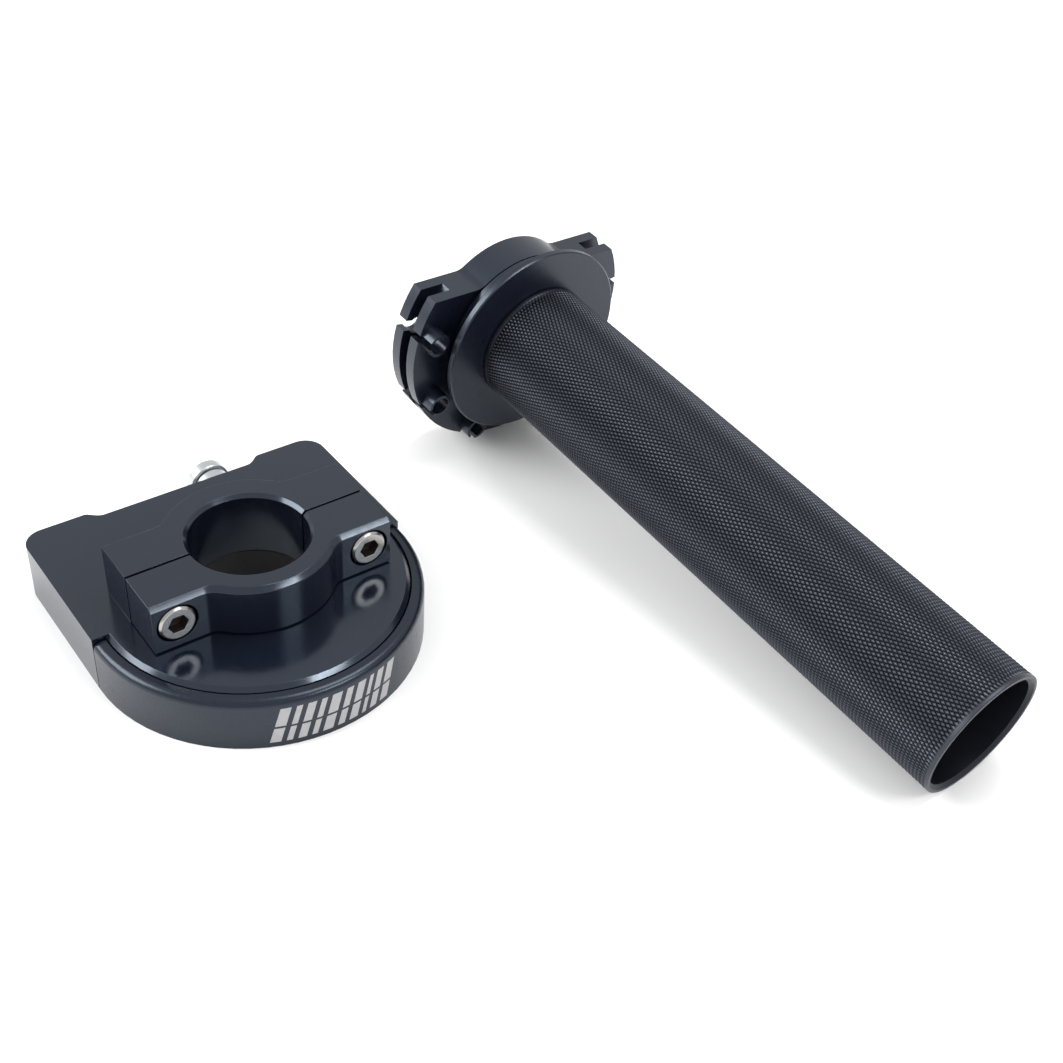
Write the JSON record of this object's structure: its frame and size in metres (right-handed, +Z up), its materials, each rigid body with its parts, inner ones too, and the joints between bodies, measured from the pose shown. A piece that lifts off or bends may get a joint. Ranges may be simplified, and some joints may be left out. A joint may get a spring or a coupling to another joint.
{
  "type": "throttle grip",
  "caption": "Twist throttle for a 22 mm handlebar: a flat cable housing with a bar clamp, beside a knurled throttle tube with an exchangeable cable reel.",
  "frame": {"origin": "on the table, under the middle of the whole layout: the housing lies to the left with its clamp up, the tube assembly to the right with its reel to the rear", "axes": "+Z up, out of the housing's handlebar bore; +Y towards the housing's cable side and the tube's reel, almost along the throttle tube; +X from the housing to the tube"},
  "size_m": [0.1388, 0.1453, 0.0487],
  "materials": {
    "housing_black": "black anodised, glossy",
    "cover_black": "black anodised, satin",
    "clamp_black": "black anodised, glossy",
    "black_oxide": "black oxide",
    "stainless_steel": "plain stainless",
    "bright_nickel": "bright, fine turned",
    "nitrile_rubber": "matt black",
    "black_acetal": "black acetal",
    "tube_knurl": "black anodised over a fine diamond knurl",
    "flange_black": "black anodised, satin",
    "reel_black": "black anodised, satin"
  },
  "bodies": {
    "housing": {"housing_body": "housing_black", "front_cover": "cover_black", "cover_screw_left": "black_oxide", "cover_screw_right": "black_oxide", "adjuster_o_ring": "nitrile_rubber", "port_plug": "black_oxide", "flange_bearing": "black_acetal"},
    "clamp_cap": {"clamp_cap": "clamp_black"},
    "clamp_screw_left": {"clamp_screw_left": "stainless_steel"},
    "clamp_screw_right": {"clamp_screw_right": "stainless_steel"},
    "adjuster_socket": {"adjuster_socket": "bright_nickel"},
    "adjuster_screw": {"adjuster_screw": "bright_nickel"},
    "throttle": {"throttle_tube": "tube_knurl", "tube_flange": "flange_black", "cable_reel": "reel_black", "reel_screw_1": "stainless_steel", "reel_screw_2": "stainless_steel", "reel_screw_3": "stainless_steel", "liner_bush_inner": "black_acetal", "liner_bush_outer": "black_acetal"}
  },
  "joints": [
    {"name": "throttle_twist", "type": "hinge", "parent": "housing", "child": "throttle", "pos_m": [0.04152, 0.06754, 0.02822], "axis": [0.0434, -0.9934, -0.1062], "range_deg": [0, 80]},
    {"name": "clamp_cap_slide", "type": "slide", "parent": "housing", "child": "clamp_cap", "axis": [0, -1, 0], "range_m": [0, 0.0056]},
    {"name": "clamp_screw_left_turn", "type": "hinge", "parent": "clamp_cap", "child": "clamp_screw_left", "pos_m": [-0.05688, 0.02304, 0.0174], "axis": [0, -1, 0], "range_deg": [0, 2881]},
    {"name": "clamp_screw_right_turn", "type": "hinge", "parent": "clamp_cap", "child": "clamp_screw_right", "pos_m": [-0.01808, 0.02304, 0.0174], "axis": [0, -1, 0], "range_deg": [0, 2881]},
    {"name": "adjuster_travel", "type": "slide", "parent": "housing", "child": "adjuster_socket", "axis": [0, 1, 0], "range_m": [0, 0.0025]},
    {"name": "adjuster_turn", "type": "hinge", "parent": "adjuster_socket", "child": "adjuster_screw", "pos_m": [-0.02798, 0.06484, 0.00605], "axis": [0, 1, 0], "range_deg": [0, 905]}
  ],
  "couplings": [
    {"joint": "clamp_screw_left_turn", "follows": "clamp_cap_slide", "rad_per_m": 8976},
    {"joint": "clamp_screw_right_turn", "follows": "clamp_cap_slide", "rad_per_m": 8976},
    {"joint": "adjuster_turn", "follows": "adjuster_travel", "rad_per_m": 6283.2}
  ]
}
